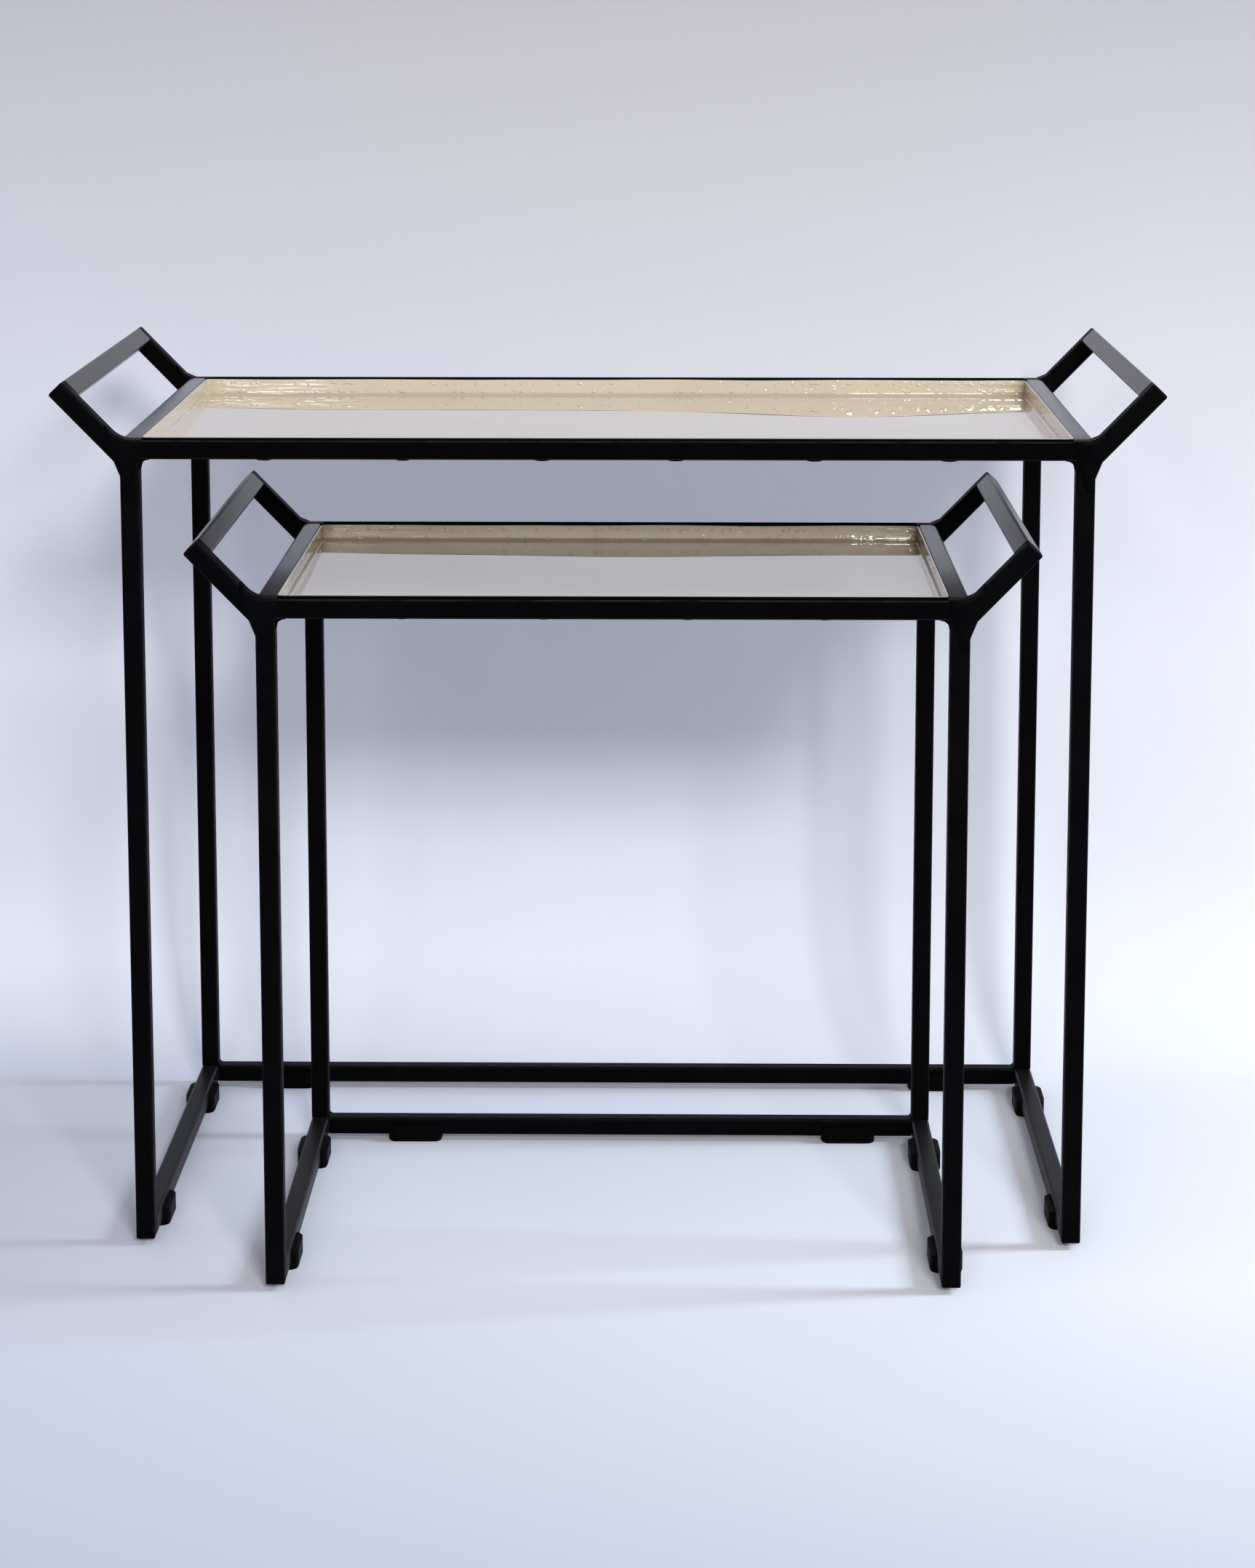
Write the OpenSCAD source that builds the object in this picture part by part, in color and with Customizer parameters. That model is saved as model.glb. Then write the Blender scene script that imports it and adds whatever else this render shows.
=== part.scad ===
// Two nesting tray tables: welded frames of square tube, enamelled tray pans and clip-on glides.
// Origin: centre of both tables' box on the floor. +X to the right, +Y to the back, +Z up.
// The small table stands partly under the large one, as when the pair is pulled apart for use.

/* [Tube] */
// Outside width of the square tube
tube = 12.7; // [11:0.1:15]
// Wall of the square tube
tube_wall = 1.5; // [1:0.1:2]
// Outside corner radius of the square tube
tube_corner = 1.9; // [1:0.1:2.5]
// Radius to which the welded caps are ground at their edges
cap_round = 2; // [0.5:0.1:3]

/* [Large table] */
// Width over the legs
large_w = 635; // [560:1:760]
// Depth over the legs
large_d = 345; // [315:1:420]
// Height of the frame's top above the floor
large_h = 548; // [520:1:640]
// Length of a handle arm along its upper edge
large_arm = 53; // [45:1:60]

/* [Small table] */
// Width over the legs
small_w = 452; // [400:1:470]
// Depth over the legs
small_d = 306; // [260:1:310]
// Height of the frame's top above the floor
small_h = 458; // [400:1:475]
// Length of a handle arm along its upper edge
small_arm = 52; // [40:1:58]

/* [Nest] */
// How far the small table's front stands before the large table's front
pulled_out = 80; // [0:1:150]
// How far the small table stands to the right of the large table's middle
small_aside = 5; // [-15:1:15]

/* [Handles] */
// Angle of the handle arms above the horizontal
arm_angle = 46; // [35:1:55]

/* [Trays] */
// Thickness of the tray's steel sheet with its enamel
tray_sheet = 1.2; // [0.8:0.1:2]
// Outside corner radius of the tray in plan
tray_corner = 3; // [2:0.5:8]
// Radius of the tray's tack welds
tack_r = 4; // [2.5:0.1:5]
// How far a tack weld stands below the frame
tack_drop = 2.8; // [1.5:0.1:3.5]
// Spacing of the tack welds
tack_pitch = 90; // [60:1:120]
// Least distance from a tray's side to a tack weld
tack_margin = 30; // [20:1:60]

/* [Welds] */
// Fillet under the top rails where they meet the legs
top_fillet = 6.5; // [3:0.1:10]
// Fillet under the crossbars where they meet the legs
small_fillet = 4; // [2:0.1:6]
// Fillet over the rear base rail where it meets the legs
base_fillet = 1.5; // [1:0.1:4]
// Size of the weld under a handle arm, along the arm and down the leg
arm_weld = 5.5; // [3:0.1:8]
// Size of the weld over a handle arm's root, along the arm and in along the rail
arm_root_weld = 4; // [2:0.1:6]
// Thickness of a weld at its toe
weld_toe = 0.25; // [0.1:0.05:0.5]

/* [Glides] */
// Length of a glide along its rail
glide_len = 39; // [30:1:50]
// Thickness of a glide's ears beside the rail
glide_ear = 4.5; // [2:0.1:6]
// Thickness of a glide's pad under the rail
glide_pad = 4; // [2:0.1:6]
// How far a glide's ears reach up the rail
glide_grip = 8; // [5:0.1:10]
// Corner radius of a glide in plan
glide_round = 8; // [4:0.5:9]
// Chamfer round the foot of a glide
glide_chamfer = 1; // [0.5:0.1:2]
// Distance from the table's front or rear face to a side rail glide's middle
glide_from_end = 56; // [50:1:90]
// Distance from the large table's left side to its back left glide's middle
large_left_glide_at = 67; // [50:1:110]
// Distance from the large table's right side to its back right glide's middle
large_right_glide_at = 74; // [50:1:110]
// Distance from the small table's left side to its back left glide's middle
small_left_glide_at = 76; // [50:1:110]
// Distance from the small table's right side to its back right glide's middle
small_right_glide_at = 59; // [50:1:110]

/* [Hidden] */

frame_black = "#121214";
enamel_cream = "#ddd2bd";
glide_black = "#0c0c0c";

// The box runs from the small table's front to the ears of the large table's rear glides.
large_front_y = -(large_d + glide_ear - pulled_out) / 2;
small_front_y = large_front_y - pulled_out;
left = -1;
right = 1;
weld_depth = tube - tube_corner;
past = 1; // how far a cut runs past what it cuts

// A table is [width, depth, height, arm length, middle in X, front in Y].
large = [large_w, large_d, large_h, large_arm, 0, large_front_y];
small = [small_w, small_d, small_h, small_arm, small_aside, small_front_y];

function width_of(table) = table[0];
function depth_of(table) = table[1];
function height_of(table) = table[2];
function arm_of(table) = table[3];
function inner_w(table) = width_of(table) - 2 * tube;
function inner_d(table) = depth_of(table) - 2 * tube;

// Places a piece in a table whose front face is at Y = 0 and whose middle is at X = 0.
module at_table(table) {
    translate([table[4], table[5], 0]) children();
}

module round_square(size, corner) {
    square([size - 2 * corner, size], center = true);
    square([size, size - 2 * corner], center = true);
    for (sx = [-1, 1], sy = [-1, 1])
        translate([sx * (size / 2 - corner), sy * (size / 2 - corner)]) circle(r = corner, $fn = 32);
}

// A length of tube along +Z, centred on the axis, with a welded cap at each end that is capped.
module bar(length, cap_start = false, cap_end = false) {
    hollow_from = cap_start ? tube_wall : -past;
    hollow_to = cap_end ? length - tube_wall : length + past;
    difference() {
        if (cap_start || cap_end)
            intersection() {
                linear_extrude(length) round_square(tube, tube_corner);
                for_side() bar_side(length, cap_start, cap_end);
                rotate([0, 0, 90]) for_side() bar_side(length, cap_start, cap_end);
            }
        else linear_extrude(length) round_square(tube, tube_corner);
        translate([0, 0, hollow_from])
            linear_extrude(hollow_to - hollow_from) square(tube - 2 * tube_wall, center = true);
    }
}

// Stands an outline drawn in X and Y up in X and Z and extrudes it through the tube.
module for_side() {
    rotate([90, 0, 0]) translate([0, 0, -tube]) linear_extrude(2 * tube) children();
}

// The side outline of a bar along +Y, with round corners at each end that is capped.
module bar_side(length, cap_start, cap_end) {
    flat_from = cap_start ? cap_round : 0;
    flat_to = cap_end ? length - cap_round : length;
    corner_x = tube / 2 - cap_round;
    translate([-tube / 2, flat_from]) square([tube, flat_to - flat_from]);
    translate([-corner_x, 0]) square([2 * corner_x, length]);
    if (cap_start) for (x = [-corner_x, corner_x])
        translate([x, cap_round]) circle(r = cap_round, $fn = 32);
    if (cap_end) for (x = [-corner_x, corner_x])
        translate([x, length - cap_round]) circle(r = cap_round, $fn = 32);
}

module bar_along_x(length) {
    translate([-length / 2, 0, 0]) rotate([0, 90, 0]) bar(length);
}

module bar_along_y(length, cap_end = false) {
    rotate([-90, 0, 0]) bar(length, cap_end = cap_end);
}

// A concave weld in the corner between +X and +Z, running along Y and centred on Y = 0.
module corner_weld(radius) {
    rotate([90, 0, 0]) translate([0, 0, -weld_depth / 2]) linear_extrude(weld_depth)
        difference() {
            square(radius);
            translate([radius, radius]) circle(r = radius - weld_toe, $fn = 64);
        }
}

// Everything above and inside the mitre of a top corner at the right of the table.
module above_mitre(table) {
    reach = 2 * tube;
    translate([width_of(table) / 2, 0, height_of(table)]) rotate([0, -45, 0])
        translate([-reach, -reach, 0]) cube([2 * reach, 2 * reach, reach]);
}

module front_leg(table, side) {
    length = height_of(table) - glide_pad;
    color(frame_black) at_table(table) on_side(side) difference() {
        translate([(width_of(table) - tube) / 2, tube / 2, glide_pad]) bar(length, cap_start = true);
        above_mitre(table);
    }
}

module rear_leg(table, side) {
    foot = glide_pad + tube;
    color(frame_black) at_table(table) on_side(side) difference() {
        translate([(width_of(table) - tube) / 2, depth_of(table) - tube / 2, foot])
            bar(height_of(table) - foot);
        translate([0, depth_of(table) - tube, 0]) above_mitre(table);
    }
}

// Mirrors a piece drawn for the right side when the left one is asked for.
module on_side(side) {
    if (side == left) mirror([1, 0, 0]) children();
    else children();
}

module top_rail(table, y) {
    half = width_of(table) / 2;
    reach = 2 * tube;
    color(frame_black) at_table(table) translate([0, y, height_of(table) - tube / 2]) {
        difference() {
            bar_along_x(width_of(table));
            for (side = [left, right]) on_side(side)
                translate([half, 0, tube / 2]) rotate([0, 45, 0])
                    translate([0, -reach, -reach]) cube([reach, 2 * reach, 2 * reach]);
        }
        for (side = [left, right]) on_side(side)
            translate([half - tube, 0, -tube / 2]) rotate([0, 180, 0]) corner_weld(top_fillet);
    }
}

module crossbar(table, side) {
    length = inner_d(table);
    color(frame_black) at_table(table)
        translate([side * (width_of(table) - tube) / 2, tube, height_of(table) - tube / 2]) {
            bar_along_y(length);
            translate([0, 0, -tube / 2]) rotate([180, 0, 90]) corner_weld(small_fillet);
            translate([0, length, -tube / 2]) rotate([180, 0, -90]) corner_weld(small_fillet);
        }
}

module side_base_rail(table, side) {
    color(frame_black) at_table(table)
        translate([side * (width_of(table) - tube) / 2, tube, glide_pad + tube / 2])
            bar_along_y(depth_of(table) - tube, cap_end = true);
}

module rear_base_rail(table) {
    color(frame_black) at_table(table)
        translate([0, depth_of(table) - tube / 2, glide_pad + tube / 2]) {
            bar_along_x(inner_w(table));
            for (side = [left, right]) on_side(side)
                translate([inner_w(table) / 2, 0, tube / 2]) rotate([0, -90, 0])
                    corner_weld(base_fillet);
        }
}

// The arm's upper edge starts at the frame's top outer edge, and its foot is cut to the leg's face.
module handle_arm(table, side, y) {
    foot = tube * (1 + tan(arm_angle));
    drop = tube / cos(arm_angle);
    color(frame_black) at_table(table) on_side(side)
        translate([width_of(table) / 2, y, height_of(table)]) {
            difference() {
                rotate([0, 90 - arm_angle, 0]) translate([tube / 2, 0, -foot])
                    bar(foot + arm_of(table), cap_end = true);
                translate([-4 * tube, -tube, -4 * tube]) cube([4 * tube, 2 * tube, 8 * tube]);
            }
            translate([0, 0, -drop]) weld_wedge(arm_weld, -90);
            weld_wedge(arm_root_weld, 180);
        }
}

// Fills the corner between an arm's face and a face that leaves it at the given angle.
module weld_wedge(size, angle) {
    along_arm = size * [cos(arm_angle), sin(arm_angle)];
    along_face = size * [cos(angle), sin(angle)];
    rotate([90, 0, 0]) translate([0, 0, -weld_depth / 2]) linear_extrude(weld_depth)
        polygon([[0, 0], along_arm, along_face]);
}

module handle_grip(table, side) {
    color(frame_black) at_table(table) on_side(side)
        translate([width_of(table) / 2, tube, height_of(table)])
            rotate([0, 90 - arm_angle, 0]) translate([tube / 2, 0, arm_of(table) - tube / 2])
                bar_along_y(inner_d(table));
}

// A flat block with round corners in plan, standing on Z = 0.
module round_block(size_x, size_y, height, corner) {
    linear_extrude(height) {
        square([size_x - 2 * corner, size_y], center = true);
        square([size_x, size_y - 2 * corner], center = true);
        for (sx = [-1, 1], sy = [-1, 1])
            translate([sx * (size_x / 2 - corner), sy * (size_y / 2 - corner)])
                circle(r = corner, $fn = 48);
    }
}

module tack_weld() {
    intersection() {
        translate([0, 0, tack_r - tack_drop]) sphere(r = tack_r, $fn = 32);
        translate([-tack_r, -tack_r, -tack_drop]) cube([2 * tack_r, 2 * tack_r, tack_drop]);
    }
}

// Places along a seam, spaced by the pitch and centred on its middle.
function tack_places(seam) =
    let (count = max(1, floor(seam / tack_pitch)))
    [for (i = [0 : count - 1]) (i - (count - 1) / 2) * tack_pitch];

module tray(table) {
    pan_x = inner_w(table);
    pan_y = inner_d(table);
    under = height_of(table) - tube;
    color(enamel_cream) at_table(table) translate([0, depth_of(table) / 2, under]) {
        difference() {
            round_block(pan_x, pan_y, tube, tray_corner);
            translate([0, 0, tray_sheet])
                round_block(pan_x - 2 * tray_sheet, pan_y - 2 * tray_sheet, tube,
                    tray_corner - tray_sheet);
        }
        for (x = tack_places(pan_x - 2 * tack_margin), y = [-1, 1])
            translate([x, y * pan_y / 2, 0]) tack_weld();
    }
}

// A clip for a rail along Y: a pad under the rail and an ear on each side of it.
module glide() {
    wide = tube + 2 * glide_ear;
    tall = glide_pad + glide_grip;
    color(glide_black) difference() {
        intersection() {
            round_block(wide, glide_len, tall, glide_round);
            rotate([90, 0, 0]) translate([0, 0, -glide_len]) linear_extrude(2 * glide_len)
                glide_face(wide, tall);
            rotate([90, 0, 90]) translate([0, 0, -glide_len]) linear_extrude(2 * glide_len)
                glide_face(glide_len, tall);
        }
        translate([-tube / 2, -glide_len, glide_pad]) cube([tube, 2 * glide_len, tube]);
    }
}

// The outline of a glide seen from its end or its side, with the foot chamfered.
module glide_face(wide, tall) {
    foot = wide / 2 - glide_chamfer;
    polygon([[-foot, 0], [foot, 0], [wide / 2, glide_chamfer], [wide / 2, tall],
        [-wide / 2, tall], [-wide / 2, glide_chamfer]]);
}

module side_glide(table, side, y) {
    at_table(table) translate([side * (width_of(table) - tube) / 2, y, 0]) glide();
}

module back_glide(table, side, from_side) {
    at_table(table)
        translate([side * (width_of(table) / 2 - from_side), depth_of(table) - tube / 2, 0])
            rotate([0, 0, 90]) glide();
}

module front_glide(table, side) {
    side_glide(table, side, glide_from_end);
}

module rear_glide(table, side) {
    side_glide(table, side, depth_of(table) - glide_from_end);
}

module front_arm(table, side) {
    handle_arm(table, side, tube / 2);
}

module rear_arm(table, side) {
    handle_arm(table, side, depth_of(table) - tube / 2);
}

front_leg(large, left);  // large_front_left_leg
front_leg(large, right);  // large_front_right_leg
rear_leg(large, left);  // large_rear_left_leg
rear_leg(large, right);  // large_rear_right_leg
top_rail(large, tube / 2);  // large_front_top_rail
top_rail(large, large_d - tube / 2);  // large_rear_top_rail
crossbar(large, left);  // large_left_crossbar
crossbar(large, right);  // large_right_crossbar
side_base_rail(large, left);  // large_left_base_rail
side_base_rail(large, right);  // large_right_base_rail
rear_base_rail(large);  // large_rear_base_rail
tray(large);  // large_tray
front_arm(large, left);  // large_left_front_handle_arm
rear_arm(large, left);  // large_left_rear_handle_arm
handle_grip(large, left);  // large_left_handle_grip
front_arm(large, right);  // large_right_front_handle_arm
rear_arm(large, right);  // large_right_rear_handle_arm
handle_grip(large, right);  // large_right_handle_grip
front_glide(large, left);  // large_left_front_glide
rear_glide(large, left);  // large_left_rear_glide
front_glide(large, right);  // large_right_front_glide
rear_glide(large, right);  // large_right_rear_glide
back_glide(large, left, large_left_glide_at);  // large_back_left_glide
back_glide(large, right, large_right_glide_at);  // large_back_right_glide
front_leg(small, left);  // small_front_left_leg
front_leg(small, right);  // small_front_right_leg
rear_leg(small, left);  // small_rear_left_leg
rear_leg(small, right);  // small_rear_right_leg
top_rail(small, tube / 2);  // small_front_top_rail
top_rail(small, small_d - tube / 2);  // small_rear_top_rail
crossbar(small, left);  // small_left_crossbar
crossbar(small, right);  // small_right_crossbar
side_base_rail(small, left);  // small_left_base_rail
side_base_rail(small, right);  // small_right_base_rail
rear_base_rail(small);  // small_rear_base_rail
tray(small);  // small_tray
front_arm(small, left);  // small_left_front_handle_arm
rear_arm(small, left);  // small_left_rear_handle_arm
handle_grip(small, left);  // small_left_handle_grip
front_arm(small, right);  // small_right_front_handle_arm
rear_arm(small, right);  // small_right_rear_handle_arm
handle_grip(small, right);  // small_right_handle_grip
front_glide(small, left);  // small_left_front_glide
rear_glide(small, left);  // small_left_rear_glide
front_glide(small, right);  // small_right_front_glide
rear_glide(small, right);  // small_right_rear_glide
back_glide(small, left, small_left_glide_at);  // small_back_left_glide
back_glide(small, right, small_right_glide_at);  // small_back_right_glide
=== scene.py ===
from math import cos, exp, hypot, pi, radians, sin, tan

import bmesh
import bpy
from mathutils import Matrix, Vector, noise


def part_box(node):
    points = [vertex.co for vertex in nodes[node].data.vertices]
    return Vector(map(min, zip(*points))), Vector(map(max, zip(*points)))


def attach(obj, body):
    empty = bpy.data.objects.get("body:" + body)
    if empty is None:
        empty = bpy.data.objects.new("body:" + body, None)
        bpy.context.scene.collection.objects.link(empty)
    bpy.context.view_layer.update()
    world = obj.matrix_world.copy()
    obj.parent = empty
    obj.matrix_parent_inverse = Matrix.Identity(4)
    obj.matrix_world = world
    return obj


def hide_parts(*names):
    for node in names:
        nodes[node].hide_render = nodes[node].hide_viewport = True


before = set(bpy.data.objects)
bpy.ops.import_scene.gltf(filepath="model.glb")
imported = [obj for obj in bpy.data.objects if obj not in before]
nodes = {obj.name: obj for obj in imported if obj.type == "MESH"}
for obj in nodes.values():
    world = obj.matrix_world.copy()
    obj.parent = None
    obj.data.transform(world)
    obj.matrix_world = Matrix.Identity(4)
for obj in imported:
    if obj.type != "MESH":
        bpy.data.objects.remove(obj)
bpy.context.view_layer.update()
tables = ("large", "small")
print("frame loaded with", len(nodes), "nodes")

# square tube that both frames are welded from
stock = {"side": 0.0127, "corner": 0.0019}

cameraLook = {
    "place": (0.0435, -2.3758, 0.8629),
    "tiltDown": 8.516,
    "turnLeft": 0.767,
    "lens": 80.0,
    "sensor": 36.0,
    "clip": (0.05, 40.0),
    "dropFrame": -0.1985,  # the frame hangs below the lens axis, so the legs stay upright
}


def addCamera(look):
    data = bpy.data.cameras.new("tableCamera")
    data.sensor_width = look["sensor"]
    data.lens = look["lens"]
    data.shift_y = look["dropFrame"]
    data.clip_start, data.clip_end = look["clip"]
    camera = bpy.data.objects.new("tableCamera", data)
    camera.location = look["place"]
    camera.rotation_euler = (radians(90 - look["tiltDown"]), 0, radians(look["turnLeft"]))
    bpy.context.collection.objects.link(camera)
    bpy.context.scene.camera = camera


addCamera(cameraLook)


# small helpers shared by the materials and the pieces

def newMaterial(name):
    material = bpy.data.materials.new(name)
    material.use_nodes = True
    tree = material.node_tree
    return material, tree, tree.nodes["Principled BSDF"]


def addNode(tree, kind, **sockets):
    node = tree.nodes.new(kind)
    for socket, value in sockets.items():
        node.inputs[socket.replace("_", " ")].default_value = value
    return node


def noiseOn(tree, scale, detail=3.0, stretch=(1.0, 1.0, 1.0)):  # scale in waves per metre
    where = tree.nodes.new("ShaderNodeTexCoord")
    mapping = addNode(tree, "ShaderNodeMapping", Scale=stretch)
    texture = addNode(tree, "ShaderNodeTexNoise", Scale=scale, Detail=detail)
    tree.links.new(where.outputs["Object"], mapping.inputs["Vector"])
    tree.links.new(mapping.outputs["Vector"], texture.inputs["Vector"])
    return texture.outputs["Fac"]


def spread(tree, value, low, high, fromLow=0.3, fromHigh=0.7):
    ranged = addNode(tree, "ShaderNodeMapRange")
    for index, number in zip((1, 2, 3, 4), (fromLow, fromHigh, low, high)):
        ranged.inputs[index].default_value = number
    tree.links.new(value, ranged.inputs[0])
    return ranged.outputs["Result"]


def twoColours(tree, share, first, second):
    mix = tree.nodes.new("ShaderNodeMix")
    mix.data_type = "RGBA"
    tree.links.new(share, mix.inputs[0])
    for index, colour in ((6, first), (7, second)):
        if isinstance(colour, tuple):
            mix.inputs[index].default_value = (*colour, 1)
        else:
            tree.links.new(colour, mix.inputs[index])
    return mix.outputs[2]


def mathOn(tree, operation, first, second=None):
    node = tree.nodes.new("ShaderNodeMath")
    node.operation = operation
    for index, value in enumerate((first, second)):
        if isinstance(value, (int, float)):
            node.inputs[index].default_value = value
        elif value is not None:
            tree.links.new(value, node.inputs[index])
    return node.outputs[0]


def attributeOn(tree, name):
    node = tree.nodes.new("ShaderNodeAttribute")
    node.attribute_name = name
    return node.outputs["Fac"]


def bumpUp(tree, shader, *layers):
    last = None
    for height, distance in layers:
        bump = addNode(tree, "ShaderNodeBump", Strength=1.0, Distance=distance)
        tree.links.new(height, bump.inputs["Height"])
        if last:
            tree.links.new(last.outputs["Normal"], bump.inputs["Normal"])
        last = bump
    tree.links.new(last.outputs["Normal"], shader.inputs["Normal"])


def finishPiece(name, bm, material, body):
    mesh = bpy.data.meshes.new(name)
    bm.to_mesh(mesh)
    bm.free()
    piece = bpy.data.objects.new(name, mesh)
    bpy.context.collection.objects.link(piece)
    mesh.materials.append(material)
    for face in mesh.polygons:
        face.use_smooth = True
    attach(piece, body)
    return piece


def bodyOf(name):
    return name.split("_")[0] + "_table"


def evenShading(piece):  # large flat faces keep their own direction
    shading = piece.modifiers.new("evenShading", "WEIGHTED_NORMAL")
    shading.mode, shading.weight, shading.keep_sharp = "FACE_AREA", 60, True


def bevelEdges(bm, edges, width, segments):
    return bmesh.ops.bevel(bm, geom=edges, offset=width, offset_type="OFFSET", affect="EDGES",
                           segments=segments, profile=0.5, material=-1, clamp_overlap=True)


# black powder coat in one copy per kind of bar: blacks and gloss differ to match how each kind catches
# the light, lit and shaded copies of one coat
coatPattern = {
    "dust": 38, "gloss": 120, "edgeHighlightPatches": 60, "lumps": 420, "pores": 1500,    # waves per metre
    "edge": (0.25, 0.6), "front": (0.7, 0.96),    # how far a face turns towards the front
    "edgeHighlightLeast": 0.25, "edgeHighlightFrom": (0.35, 0.6),
}
coatLooks = {
    "legCoat": {
        "black": (0.0011, 0.0010, 0.0013), "dust": (0.0020, 0.0018, 0.0022),
        "gloss": (0.40, 0.50), "level": 0.02, "grain": 0.00001,
        "paintedEdgeHighlight": (0.008, 0.0073, 0.0073),
    },
    "railCoat": {
        "black": (0.0019, 0.0019, 0.0021), "dust": (0.0027, 0.0027, 0.0030),
        "gloss": (0.50, 0.58), "level": 0.0, "grain": 0.00001,
        "paintedEdgeHighlight": (0.022, 0.0215, 0.022),
    },
    "gripCoat": {
        "black": (0.0075, 0.0060, 0.0078), "dust": (0.0120, 0.0098, 0.0122),
        "gloss": (0.262, 0.267), "level": 0.165, "grain": 0.0000001,
    },
    "largeBarCoat": {
        "black": (0.0034, 0.0029, 0.0036), "dust": (0.0055, 0.0048, 0.0056),
        "gloss": (0.18, 0.20), "level": 0.33, "grain": 0.0000005,
        "dullFront": (-0.09, -0.13, 0.34),    # from, to, gloss there
    },
    "smallBarCoat": {
        "black": (0.0034, 0.0029, 0.0036), "dust": (0.0055, 0.0048, 0.0056),
        "gloss": (0.21, 0.23), "level": 0.195, "grain": 0.0000005,
        "dullFront": (-0.09, -0.21, 0.42),
    },
    "baseCoat": {
        "black": (0.0050, 0.0042, 0.0048), "dust": (0.0090, 0.0078, 0.0082),
        "gloss": (0.36, 0.39), "level": 0.05, "grain": 0.0000006,
    },
}


def blackCoat(name, look, pattern):
    material, tree, shader = newMaterial(name)
    shader.inputs["Specular IOR Level"].default_value = look["level"]
    dusty = spread(tree, noiseOn(tree, pattern["dust"], 4), 0, 1)
    black = twoColours(tree, dusty, look["black"], look["dust"])
    gloss = spread(tree, noiseOn(tree, pattern["gloss"], 4), *look["gloss"])
    if "paintedEdgeHighlight" in look:  # painted highlight: lighter, in patches, where the front and back faces round over
        facing = tree.nodes.new("ShaderNodeNewGeometry")
        split = tree.nodes.new("ShaderNodeSeparateXYZ")
        tree.links.new(facing.outputs["True Normal"], split.inputs[0])
        forwards = mathOn(tree, "ABSOLUTE", split.outputs["Y"])
        rounded = spread(tree, forwards, 0, 1, *pattern["edge"])
        edge = mathOn(tree, "MULTIPLY", rounded, spread(tree, forwards, 1, 0, *pattern["front"]))
        patchy = noiseOn(tree, pattern["edgeHighlightPatches"], 5)
        patchy = spread(tree, patchy, pattern["edgeHighlightLeast"], 1, *pattern["edgeHighlightFrom"])
        black = twoColours(tree, mathOn(tree, "MULTIPLY", edge, patchy), black, look["paintedEdgeHighlight"])
    if "dullFront" in look:  # handled less, so duller, towards the front
        near, far, dull = look["dullFront"]
        where = tree.nodes.new("ShaderNodeTexCoord")
        split = tree.nodes.new("ShaderNodeSeparateXYZ")
        tree.links.new(where.outputs["Object"], split.inputs[0])
        duller = spread(tree, split.outputs["Y"], 0, dull - look["gloss"][1], near, far)
        gloss = mathOn(tree, "ADD", gloss, duller)
    tree.links.new(black, shader.inputs["Base Color"])
    tree.links.new(gloss, shader.inputs["Roughness"])
    lumps, pores = noiseOn(tree, pattern["lumps"], 2), noiseOn(tree, pattern["pores"], 2)
    bumpUp(tree, shader, (lumps, look["grain"] * 2), (pores, look["grain"]))
    return material


coats = {name: blackCoat(name, look, coatPattern) for name, look in coatLooks.items()}


def coatFor(node):
    if node.endswith("crossbar"):
        return coats[node.split("_")[0] + "BarCoat"]
    if node.endswith("grip"):
        return coats["gripCoat"]
    if node.endswith("top_rail"):
        return coats["railCoat"]
    if node.endswith("base_rail") and "rear" not in node:
        return coats["baseCoat"]
    return coats["legCoat"]


# moulded plastic of the clip-on glides
plasticLook = {
    "black": (0.0014, 0.0014, 0.0017),
    "scuff": (0.0035, 0.0035, 0.0042),
    "gloss": (0.42, 0.55),
    "level": 0.02,
    "pattern": {"scuff": 260, "gloss": 300, "grain": 1500},    # waves per metre
    "scuffFrom": (0.5, 0.75),
    "grain": 0.00004,
    "soften": 0.0011,      # rounding of the edges that are sharper than softenFrom, in degrees
    "softenFrom": 28,
    "merge": 0.00002,
}


def glidePlastic(look):
    material, tree, shader = newMaterial("glidePlastic")
    shader.inputs["Specular IOR Level"].default_value = look["level"]
    pattern = look["pattern"]
    rubbed = spread(tree, noiseOn(tree, pattern["scuff"], 5), 0, 1, *look["scuffFrom"])
    black = twoColours(tree, rubbed, look["black"], look["scuff"])
    tree.links.new(black, shader.inputs["Base Color"])
    gloss = spread(tree, noiseOn(tree, pattern["gloss"], 3), *look["gloss"])
    tree.links.new(gloss, shader.inputs["Roughness"])
    bumpUp(tree, shader, (noiseOn(tree, pattern["grain"], 2), look["grain"]))
    return material


plastic = glidePlastic(plasticLook)

for name, node in nodes.items():
    for holder in node.material_slots:
        holder.material = plastic if name.endswith("glide") else coatFor(name)
print("coats on the CAD nodes")


def softGlide(name, look):
    bm = bmesh.new()
    bm.from_mesh(nodes[name].data)
    bmesh.ops.remove_doubles(bm, verts=bm.verts, dist=look["merge"])
    bmesh.ops.dissolve_limit(bm, angle_limit=radians(1), verts=bm.verts, edges=bm.edges)
    bmesh.ops.recalc_face_normals(bm, faces=bm.faces)
    piece = finishPiece(name + "Moulding", bm, plastic, bodyOf(name))
    soft = piece.modifiers.new("softEdges", "BEVEL")
    soft.width, soft.segments = look["soften"], 3
    soft.limit_method, soft.angle_limit = "ANGLE", radians(look["softenFrom"])
    evenShading(piece)
    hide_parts(name)


for name in [name for name in nodes if name.endswith("glide")]:
    softGlide(name, plasticLook)
print("glides moulded")


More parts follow.
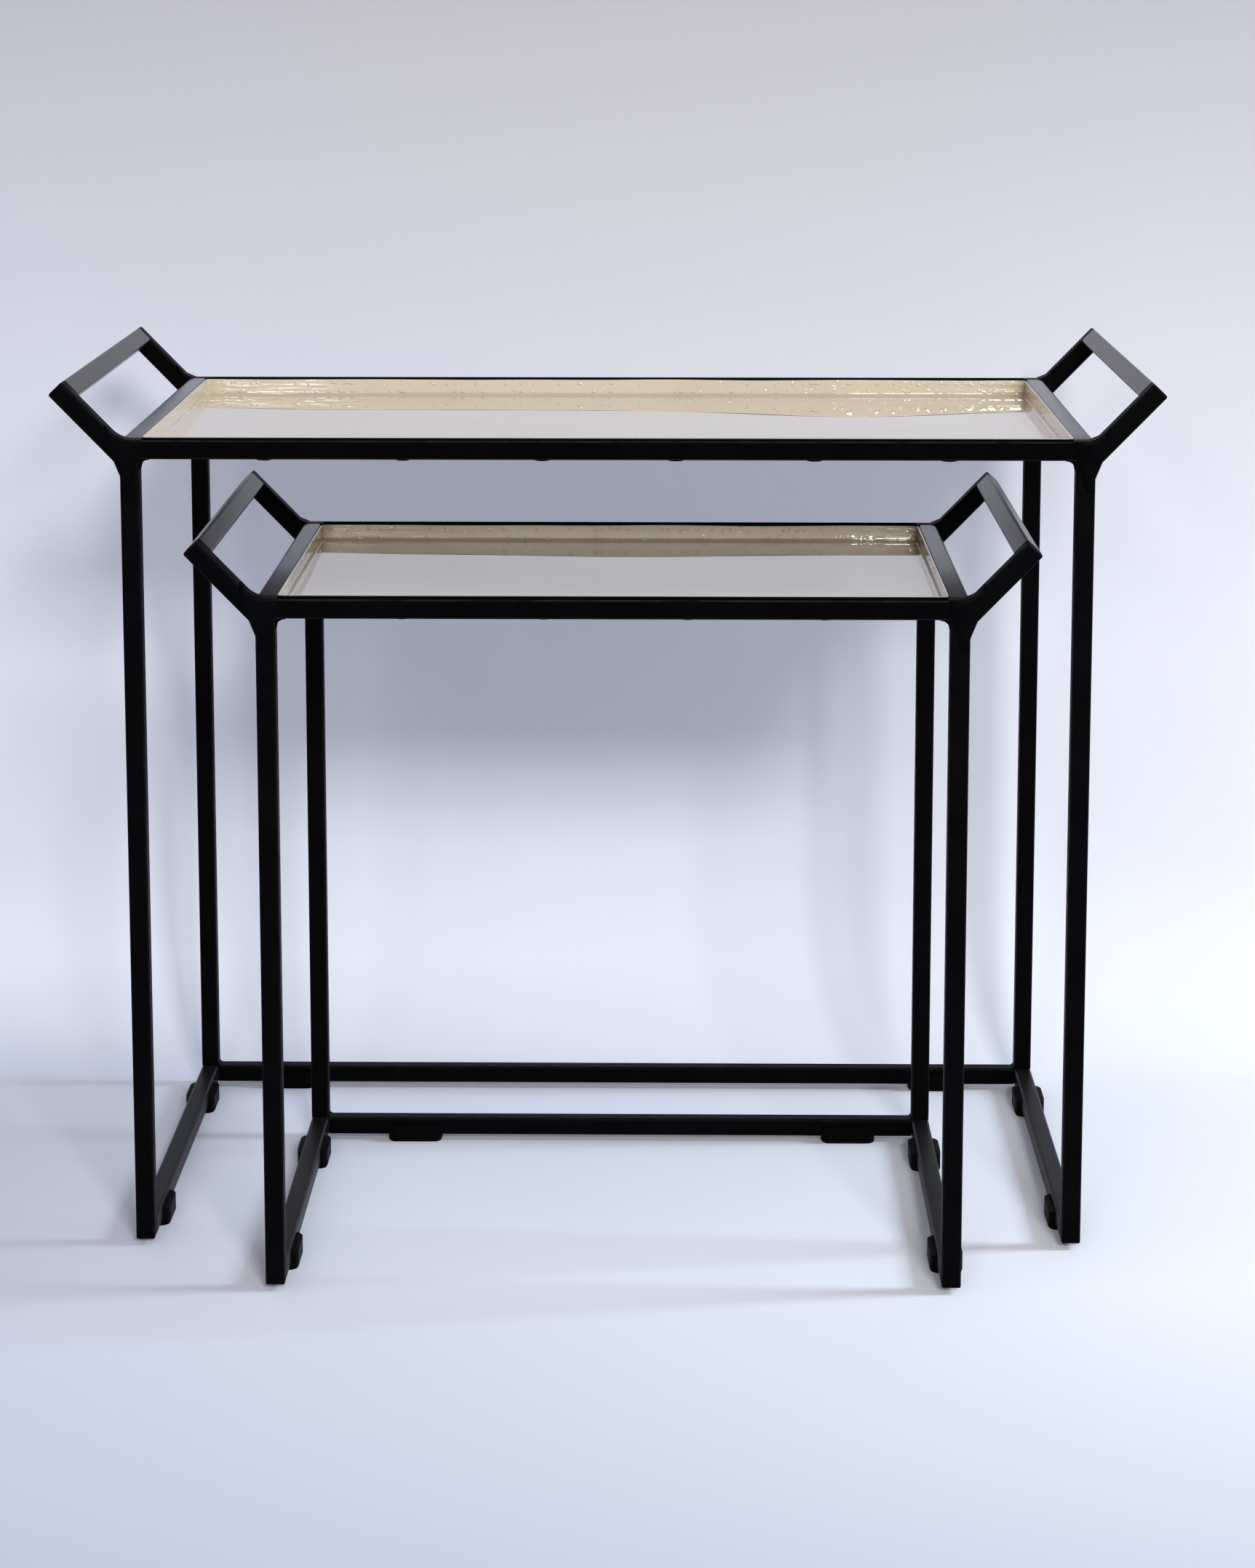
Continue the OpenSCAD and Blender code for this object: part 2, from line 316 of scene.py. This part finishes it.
# dressed welds where an arm leaves the frame: the tubes' round edges run on round the joint
knuckleLook = {
    "proud": 0.00005,
    "armAngle": radians(46),
    "reach": 0.014,
    "legReach": 0.016,
    "inside": -0.006,      # how far it reaches into the tubes
    "under": {"left": (0.0060, 2), "right": (0.0064, 1)},    # length of the weld along each face, steps
    "root": {
        "front_left": (0.0075, 6), "front_right": (0.0048, 2),
        "rear_left": (0.0046, 2), "rear_right": (0.0046, 2),
    },
    "rimSteps": 4,
}


def knuckle(table, side, end, look):
    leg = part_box(f"{table}_{end}_{side}_leg")
    turned = -1 if side == "left" else 1
    outer = leg[0].x if side == "left" else leg[1].x
    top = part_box(table + "_front_top_rail")[1].z
    up = Vector((cos(look["armAngle"]), 0, sin(look["armAngle"])))
    away = Vector((sin(look["armAngle"]), 0, -cos(look["armAngle"]))) * look["proud"]
    drop = stock["side"] / cos(look["armAngle"])
    thin, reach, inside = look["proud"], look["reach"], look["inside"]
    spill = thin * tan(look["armAngle"] / 2)
    foot = -drop - look["legReach"]
    outline = [
        Vector((inside, 0, foot)), Vector((thin, 0, foot)), Vector((thin, 0, -drop - spill)),
        Vector((0, 0, -drop)) + up * reach + away, up * reach - away,
        Vector((-spill, 0, thin)), Vector((-reach, 0, thin)), Vector((-reach, 0, inside)),
    ]
    bm = bmesh.new()
    ring = [bm.verts.new((outer + turned * point.x, leg[0].y - thin, top + point.z)) for point in outline]
    face = bm.faces.new(ring)
    pulled = bmesh.ops.extrude_face_region(bm, geom=[face])
    moved = [item for item in pulled["geom"] if isinstance(item, bmesh.types.BMVert)]
    bmesh.ops.translate(bm, vec=(0, stock["side"] + 2 * thin, 0), verts=moved)
    bmesh.ops.recalc_face_normals(bm, faces=bm.faces)
    welds = ((outline[2], look["under"][side]), (outline[5], look["root"][f"{end}_{side}"]))
    for corner, (length, steps) in welds:
        x, z = outer + turned * corner.x, top + corner.z
        along = [edge for edge in bm.edges
                 if all(hypot(vert.co.x - x, vert.co.z - z) < 1e-6 for vert in edge.verts)]
        bevelEdges(bm, along, length, steps)
    corners = [Vector((outer + turned * point.x, 0, top + point.z)) for point in outline]
    cut = ((3, 4), (6, 7), (7, 0), (0, 1))    # sides that end on or inside the tubes stay sharp
    rims = [edge for edge in bm.edges if abs(edge.verts[0].co.y - edge.verts[1].co.y) < 1e-7
            and not any(onSpan(edge, corners[first], corners[last]) for first, last in cut)]
    bevelEdges(bm, rims, stock["corner"] + thin, look["rimSteps"])
    name = f"{table}{end.title()}{side.title()}Knuckle"
    piece = finishPiece(name, bm, coats["legCoat"], table + "_table")
    evenShading(piece)


def onSpan(edge, first, last):  # seen from the front
    line = Vector((last.x - first.x, last.z - first.z))
    for vert in edge.verts:
        offset = Vector((vert.co.x - first.x, vert.co.z - first.z))
        beside = abs(line.x * offset.y - line.y * offset.x) / line.length
        if beside > 1e-6 or not -1e-6 < offset.dot(line.normalized()) < line.length + 1e-6:
            return False
    return True


for table in tables:
    for side in ("left", "right"):
        for end in ("front", "rear"):
            knuckle(table, side, end, knuckleLook)
print("arm welds dressed")


# cream enamel of the trays, poured glossy and a little lumpy in the corners
enamelLook = {
    "cream": (0.70, 0.62, 0.485),
    "thin": (0.66, 0.57, 0.43),
    # painted shade colours: a dark brown line along the crease, and a brown shade for the floor, the rear
    # and the end walls
    "crease": (0.26, 0.18, 0.10),
    "shade": (0.28, 0.20, 0.12),
    "gloss": (0.006, 0.016),
    "level": 0.55,
    "clear": 0.5,      # weight of the clear top layer
    "pattern": {"cream": 14, "gloss": 60, "waves": 7, "beads": 300, "runs": 500},    # waves per metre
    "waves": 0.00012,
    "beads": 0.00053,
    "beadsFrom": (0.62, 0.72),
    "crowding": 0.32,  # how much denser the beads stand where the enamel pooled
    "runs": 0.0012,
    "runsStretch": (0.05, 1, 1),
    "beadsTo": 0.012,  # depth below the rim at which the rows of beads end
    "beadSteps": ((0.017, 0), (0.133, 0.665), (0.267, 1), (0.45, 0),
                  (0.567, 0), (0.717, 0.855), (0.80, 1), (0.88, 0)),  # share of that depth, strength
}


def beadRows(tree, sunk, look):  # beads hang under the rim and over the crease
    node = tree.nodes.new("ShaderNodeValToRGB")
    tree.links.new(spread(tree, sunk, 0, 1, 0, look["beadsTo"]), node.inputs["Fac"])
    steps = node.color_ramp.elements
    steps[0].color, steps[1].color = (0, 0, 0, 1), (0, 0, 0, 1)
    for place, grey in look["beadSteps"]:
        steps.new(place).color = (grey, grey, grey, 1)
    return node.outputs["Color"]


def creamEnamel(look):
    material, tree, shader = newMaterial("creamEnamel")
    pattern = look["pattern"]
    shader.inputs["Specular IOR Level"].default_value = look["level"]
    shader.inputs["Coat Weight"].default_value = look["clear"]
    shader.inputs["Coat Roughness"].default_value = look["gloss"][0]
    patches = spread(tree, noiseOn(tree, pattern["cream"], 4), 0, 1)
    cream = twoColours(tree, patches, look["cream"], look["thin"])
    # painted shade: floor darker towards the rear, end walls and rear corners darker, a dark brown line
    # along the crease
    cream = twoColours(tree, attributeOn(tree, "paintedShadeShare"), cream, look["shade"])
    cream = twoColours(tree, attributeOn(tree, "creaseShade"), cream, look["crease"])
    tree.links.new(cream, shader.inputs["Base Color"])
    gloss = spread(tree, noiseOn(tree, pattern["gloss"], 3), *look["gloss"])
    tree.links.new(gloss, shader.inputs["Roughness"])
    near = mathOn(tree, "MULTIPLY", attributeOn(tree, "pooled"), look["crowding"])
    crowded = mathOn(tree, "ADD", noiseOn(tree, pattern["beads"], 0), near)
    dots = spread(tree, crowded, 0, 1, *look["beadsFrom"])
    beads = mathOn(tree, "MULTIPLY", dots, beadRows(tree, attributeOn(tree, "sunk"), look))
    streaks = noiseOn(tree, pattern["runs"], 1.5, look["runsStretch"])
    runs = mathOn(tree, "MULTIPLY", streaks, attributeOn(tree, "streaked"))
    waves = noiseOn(tree, pattern["waves"], 1)
    bumpUp(tree, shader, (waves, look["waves"]), (beads, look["beads"]), (runs, look["runs"]))
    tree.links.new(shader.inputs["Normal"].links[0].from_socket, shader.inputs["Coat Normal"])
    return material


enamel = creamEnamel(enamelLook)

# the underside only has the dark ground coat
groundLook = {
    "dark": (0.020, 0.019, 0.021),
    "speck": (0.06, 0.058, 0.06),
    "gloss": (0.3, 0.42),
    "level": 0.4,
    "pattern": {"speck": 700, "gloss": 90, "grain": 260},    # waves per metre
    "speckFrom": (0.6, 0.72),
    "grain": 0.00006,
}


def groundCoat(look):
    material, tree, shader = newMaterial("groundCoat")
    shader.inputs["Specular IOR Level"].default_value = look["level"]
    pattern = look["pattern"]
    specks = spread(tree, noiseOn(tree, pattern["speck"], 2), 0, 1, *look["speckFrom"])
    dark = twoColours(tree, specks, look["dark"], look["speck"])
    tree.links.new(dark, shader.inputs["Base Color"])
    gloss = spread(tree, noiseOn(tree, pattern["gloss"], 3), *look["gloss"])
    tree.links.new(gloss, shader.inputs["Roughness"])
    bumpUp(tree, shader, (noiseOn(tree, pattern["grain"], 3), look["grain"]))
    return material


ground = groundCoat(groundLook)

panLook = {
    "sheet": 0.0012,
    "proudFront": 0.0003,   # the rim stands above the frame in front and sinks below it behind
    "proudRear": -0.0006,
    "uneven": 0.0005,
    "unevenPattern": (14, 3),    # waves per metre across, waves from front to rear
    "floorUp": {"large": 0.0006, "small": 0.0014},
    "crease": 0.0022,
    "rimRound": 0.0004,
    # even part and bulge in metres, the bulge's place and width as shares of the pan's width
    "swell": {"large": (-0.00008, 0.00086, 0.78, 0.16), "small": (-0.00010, 0.00040, 0.52, 0.22)},
    "dip": 0.00035,       # at the left end
    "dipWidth": 0.09,
    "skew": 1.6,
    "cells": (100, 56),
    # painted shade, as the share of the shade colour: walls, floor, more to the rear, by the end walls,
    # rear corners, crease
    "paintedShade": {
        "large": {"wall": 0.0, "floor": 0.18, "rear": 0.12, "side": 0.28,
                  "left": 0.0, "right": 0.35, "crease": 0.35},
        "small": {"wall": 0.0, "floor": 0.18, "rear": 0.20, "side": 0.40,
                  "left": 0.25, "right": 0.45, "crease": 0.70},
    },
    "paintedShadeOver": {"side": 0.006, "rear": 0.055, "crease": 0.0006, "creaseWidth": 0.0011},
    # enamel that pooled at the rear right and streaked at the rear left
    "pooledTo": 0.012,    # how far from the rear wall
    "onFloor": 0.3,
    "pooled": ((0.9, 0.028), (0.2, 0.11)),    # strength, distance from the right end
    "streaked": 0.05,     # distance from the left end
}


def rises(across, along, look, table):  # the floor bulges in front and dips behind
    even, bulge, middle, width = look["swell"][table]
    swell = even + bulge * exp(-((across - middle) / width) ** 2)
    swell -= look["dip"] * exp(-(across / look["dipWidth"]) ** 2)
    return swell * sin(2 * pi * along ** look["skew"])


def pan(table, look):
    left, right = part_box(table + "_left_crossbar"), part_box(table + "_right_crossbar")
    front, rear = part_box(table + "_front_top_rail"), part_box(table + "_rear_top_rail")
    sheet = look["sheet"]
    floor = front[1].z - stock["side"] + look["floorUp"][table]
    low = Vector((left[1].x + sheet, front[1].y + sheet, floor))
    high = Vector((right[0].x - sheet, rear[0].y - sheet, front[1].z))
    middle, size = (low + high) / 2, high - low
    bm = bmesh.new()
    columns, rows = look["cells"]
    bmesh.ops.create_grid(bm, x_segments=columns, y_segments=rows, size=0.5)
    bmesh.ops.scale(bm, vec=(size.x, size.y, 1), verts=bm.verts)
    bmesh.ops.translate(bm, vec=(middle.x, middle.y, low.z), verts=bm.verts)
    crease = [edge for edge in bm.edges if edge.is_boundary]
    raised = bmesh.ops.extrude_edge_only(bm, edges=crease)
    lifted = [item for item in raised["geom"] if isinstance(item, bmesh.types.BMVert)]
    bmesh.ops.translate(bm, vec=(0, 0, size.z), verts=lifted)

    def atCorner(vert):
        return (min(abs(vert.co.x - low.x), abs(vert.co.x - high.x)) < 1e-5
                and min(abs(vert.co.y - low.y), abs(vert.co.y - high.y)) < 1e-5)

    upright = [edge for edge in bm.edges if all(atCorner(vert) for vert in edge.verts)]
    bevelEdges(bm, crease + upright, look["crease"], 4)
    layers = [bm.verts.layers.float.new(name)
              for name in ("paintedShadeShare", "creaseShade", "pooled", "streaked", "sunk")]
    paintedShadeShare, creaseShade, pooled, streaked, sunk = layers
    paintedShade, over = look["paintedShade"][table], look["paintedShadeOver"]
    (most, mostTo), (some, someTo) = look["pooled"]
    perMetre, perDepth = look["unevenPattern"]
    for vert in bm.verts:
        across, along = (vert.co.x - low.x) / size.x, (vert.co.y - low.y) / size.y
        height = vert.co.z - low.z
        onFloor, onRim = height < 1e-4, height > size.z - 1e-5
        vert[sunk] = size.z - height
        toSide = min(vert.co.x - low.x, high.x - vert.co.x)
        toRear = high.y - vert.co.y
        nearest = min(toSide, toRear, vert.co.y - low.y)
        # painted shade along the crease, on the floor towards the rear, by the end walls and in the rear
        # corners
        fromCrease = (hypot(nearest, height) - over["crease"]) / over["creaseWidth"]
        vert[creaseShade] = paintedShade["crease"] * exp(-fromCrease ** 2)
        atSide = exp(-(max(0.0, toSide) / over["side"]) ** 2)
        behind = exp(-(toRear / over["rear"]) ** 2)
        inCorner = paintedShade["left" if across < 0.5 else "right"] * behind
        flat = paintedShade["floor"] + paintedShade["rear"] * behind if height < look["crease"] else paintedShade["wall"]
        vert[paintedShadeShare] = min(1, flat + (paintedShade["side"] + inCorner - flat) * atSide)
        atRear = min(1, max(0, (look["pooledTo"] - toRear) / look["pooledTo"]))
        atRear *= look["onFloor"] if onFloor else 1
        toEnd = high.x - vert.co.x
        vert[pooled] = atRear * (most * exp(-(toEnd / mostTo) ** 2) + some * exp(-(toEnd / someTo) ** 2))
        fromStreak = (vert.co.x - low.x - look["streaked"]) / look["streaked"]
        vert[streaked] = atRear * exp(-fromStreak ** 2)
        if onFloor:
            vert.co.z += rises(across, along, look, table)
        elif onRim:
            vert.co.z += look["proudFront"] + (look["proudRear"] - look["proudFront"]) * along
            spot = Vector((vert.co.x * perMetre, along * perDepth, len(table)))
            vert.co.z += look["uneven"] * along * noise.noise(spot)
    bmesh.ops.recalc_face_normals(bm, faces=bm.faces)
    if sum(face.normal.z for face in bm.faces) < 0:
        bmesh.ops.reverse_faces(bm, faces=bm.faces)
    piece = finishPiece(table + "EnamelPan", bm, enamel, table + "_table")
    piece.data.materials.append(ground)
    wall = piece.modifiers.new("sheet", "SOLIDIFY")
    wall.thickness, wall.offset, wall.use_even_offset = sheet, -1, True
    wall.material_offset, wall.material_offset_rim = 1, 0
    rim = piece.modifiers.new("rim", "BEVEL")
    rim.width, rim.segments = look["rimRound"], 2
    rim.limit_method, rim.angle_limit = "ANGLE", radians(50)
    evenShading(piece)
    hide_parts(table + "_tray")


for table in tables:
    pan(table, panLook)
print("enamel pans")


# tack welds that hold the tray under its front and rear seams
tackLook = {
    "pitch": 0.090,
    "margin": 0.030,
    "size": (0.0052, 0.0040),
    "longer": 0.35,
    "hang": 0.0022,
    "overlap": 0.0002,    # how far they reach into the pan
    "lumps": 0.0006,
    "lumpPattern": 420,   # waves per metre
    "astray": 0.004,
}


def tackWelds(table, look):
    front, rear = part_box(table + "_front_top_rail"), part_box(table + "_rear_top_rail")
    left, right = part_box(table + "_left_crossbar"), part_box(table + "_right_crossbar")
    seam = right[0].x - left[1].x - 2 * look["margin"]
    tall = (look["hang"] + panLook["floorUp"][table] - panLook["sheet"] + look["overlap"]) / 2
    count = max(1, int(seam / look["pitch"]))
    middle = (left[1].x + right[0].x) / 2
    bm = bmesh.new()
    for place in range(count):
        for row, y in enumerate((front[1].y, rear[0].y)):
            made = bmesh.ops.create_uvsphere(bm, u_segments=20, v_segments=12, radius=1.0)["verts"]
            seed = Vector((place * 3.7, row * 9.1, len(table)))
            stretch = 1 + look["longer"] * noise.noise(seed)
            bmesh.ops.scale(bm, vec=(look["size"][0] * stretch, look["size"][1], tall), verts=made)
            for vert in made:
                outwards = Vector((vert.co.x, vert.co.y, 0)).normalized()
                vert.co += outwards * look["lumps"] * noise.noise(vert.co * look["lumpPattern"] + seed)
            x = middle + (place - (count - 1) / 2) * look["pitch"]
            x += look["astray"] * noise.noise(seed * 1.7)
            z = front[1].z - stock["side"] - look["hang"] + tall
            bmesh.ops.translate(bm, vec=(x, y, z), verts=made)
    finishPiece(table + "TackWelds", bm, coats["legCoat"], table + "_table")


for table in tables:
    tackWelds(table, tackLook)
print("tack welds")


# paper floor and sweep, with painted light and shade in their tones: darker high up, near the front and
# towards the window, the floor lighter to the right
studio = {
    "rough": 0.9,
    "level": 0.1,
    "left": (0.835, 0.87, 0.955),
    "right": (0.87, 0.885, 0.93),
    "high": (0.475, 0.47, 0.505),
    "floorLeft": (0.66, 0.69, 0.785),
    "floorRight": (0.90, 0.915, 0.95),
    "near": (0.42, 0.435, 0.51),
    "beyond": (0.40, 0.42, 0.46),    # painted shade towards the window, where the light is strongest
    # where one tone turns into the next, in metres
    "acrossFrom": (-0.5, 0.6),
    "highFrom": (0.35, 0.95),
    "bendFrom": (0.0, 0.06),
    "nearFrom": (-0.2, -0.8),
    "beyondFrom": (0.6, 1.3),
    "wallFrom": 0.225,    # where the sweep starts to rise, behind the tables
    "wallBend": 0.14,
    "wallTop": 3.2,
    "wallLift": 0.0003,
    "bendSteps": 16,
    "halfWidth": 3.4,
    "floorHalf": 9,
}


def paperMaterial(look, oneSided):
    material, tree, shader = newMaterial("paperSweep" if oneSided else "paperFloor")
    shader.inputs["Roughness"].default_value = look["rough"]
    shader.inputs["Specular IOR Level"].default_value = look["level"]
    where = tree.nodes.new("ShaderNodeTexCoord")
    split = tree.nodes.new("ShaderNodeSeparateXYZ")
    tree.links.new(where.outputs["Object"], split.inputs[0])
    # painted light and shade: the tone shifts across, up the sweep, towards the front and towards the
    # window
    side = spread(tree, split.outputs["X"], 0, 1, *look["acrossFrom"])
    paper = twoColours(tree, side, look["floorLeft"], look["floorRight"])
    if oneSided:
        wall = twoColours(tree, side, look["left"], look["right"])
        raised = spread(tree, split.outputs["Z"], 0, 1, *look["highFrom"])
        wall = twoColours(tree, raised, wall, look["high"])
        paper = twoColours(tree, spread(tree, split.outputs["Z"], 0, 1, *look["bendFrom"]), paper, wall)
    else:
        forwards = spread(tree, split.outputs["Y"], 0, 1, *look["nearFrom"])
        paper = twoColours(tree, forwards, paper, look["near"])
    windowwards = spread(tree, split.outputs["X"], 0, 1, *look["beyondFrom"])
    paper = twoColours(tree, windowwards, paper, look["beyond"])
    tree.links.new(paper, shader.inputs["Base Color"])
    if oneSided:
        facing = tree.nodes.new("ShaderNodeNewGeometry")
        clear = tree.nodes.new("ShaderNodeBsdfTransparent")
        mix = tree.nodes.new("ShaderNodeMixShader")
        out = tree.nodes["Material Output"]
        tree.links.new(facing.outputs["Backfacing"], mix.inputs[0])
        tree.links.new(shader.outputs[0], mix.inputs[1])
        tree.links.new(clear.outputs[0], mix.inputs[2])
        tree.links.new(mix.outputs[0], out.inputs["Surface"])
    return material


def addStage(name, bm, material):
    mesh = bpy.data.meshes.new(name)
    bm.to_mesh(mesh)
    bm.free()
    for face in mesh.polygons:
        face.use_smooth = True
    mesh.materials.append(material)
    stage = bpy.data.objects.new(name, mesh)
    bpy.context.collection.objects.link(stage)


def addSweep(look):
    wide, lift = look["halfWidth"], look["wallLift"]
    bm = bmesh.new()
    start = bm.verts.new((-wide, look["wallFrom"], lift))
    hinge = Vector((-wide, look["wallFrom"], lift + look["wallBend"]))
    bent = bmesh.ops.spin(bm, geom=[start], cent=hinge, axis=(1, 0, 0), angle=pi / 2,
                          steps=look["bendSteps"])
    top = next(item for item in bent["geom_last"] if isinstance(item, bmesh.types.BMVert))
    raised = bmesh.ops.extrude_vert_indiv(bm, verts=[top])
    bmesh.ops.translate(bm, vec=(0, 0, look["wallTop"]), verts=raised["verts"])
    profile = list(bm.edges)
    widened = bmesh.ops.extrude_edge_only(bm, edges=profile)
    moved = [item for item in widened["geom"] if isinstance(item, bmesh.types.BMVert)]
    bmesh.ops.translate(bm, vec=(2 * wide, 0, 0), verts=moved)
    bmesh.ops.recalc_face_normals(bm, faces=bm.faces)
    tall = max(bm.faces, key=lambda face: face.calc_center_median().z)
    if tall.normal.y > 0:
        bmesh.ops.reverse_faces(bm, faces=bm.faces)
    addStage("paperSweep", bm, paperMaterial(look, True))
    floor = bmesh.new()
    bmesh.ops.create_grid(floor, x_segments=1, y_segments=1, size=look["floorHalf"])
    addStage("paperFloor", floor, paperMaterial(look, False))


addSweep(studio)

lamps = {
    "leftSoftbox": {"place": (-0.72, -3.5, 1.9), "aim": (0, 0.1, 0.3), "size": (0.5, 0.4),
                    "power": 11, "colour": (1.0, 0.985, 0.965)},
    "frontSoftbox": {"place": (0.76, -3.5, 1.87), "aim": (0, 0.1, 0.3), "size": (0.8, 0.5),
                     "power": 79, "colour": (1.0, 0.985, 0.965)},
    "rightWindow": {"place": (6.0, 0.6, 4.5), "aim": (0, 0, 0.2), "size": (2.2, 2.2),
                    "power": 640, "colour": (0.73, 0.86, 1.0)},
}


def addLamp(name, look):
    data = bpy.data.lights.new(name, "AREA")
    data.shape = "RECTANGLE"
    data.size, data.size_y = look["size"]
    data.energy = look["power"]
    data.color = look["colour"]
    lamp = bpy.data.objects.new(name, data)
    lamp.location = look["place"]
    lamp.rotation_euler = (Vector(look["aim"]) - lamp.location).to_track_quat("-Z", "Y").to_euler()
    bpy.context.collection.objects.link(lamp)


for name, look in lamps.items():
    addLamp(name, look)

worldLook = {"seen": (0.72, 0.75, 0.82), "fill": (0.435, 0.413, 0.43)}


def addWorld(look):
    world = bpy.data.worlds.new("paleRoom")
    bpy.context.scene.world = world
    world.use_nodes = True
    tree = world.node_tree
    out = tree.nodes["World Output"]
    fill = tree.nodes["Background"]
    fill.inputs["Color"].default_value = (*look["fill"], 1)
    seen = addNode(tree, "ShaderNodeBackground", Color=(*look["seen"], 1))
    path = tree.nodes.new("ShaderNodeLightPath")
    anySeen = path.outputs["Is Camera Ray"]
    for output in ("Is Glossy Ray", "Is Transmission Ray"):
        anySeen = mathOn(tree, "MAXIMUM", anySeen, path.outputs[output])
    mix = tree.nodes.new("ShaderNodeMixShader")
    tree.links.new(anySeen, mix.inputs[0])
    tree.links.new(fill.outputs[0], mix.inputs[1])
    tree.links.new(seen.outputs[0], mix.inputs[2])
    tree.links.new(mix.outputs[0], out.inputs["Surface"])


addWorld(worldLook)
bpy.context.scene.view_settings.view_transform = "Standard"
print("studio lit")
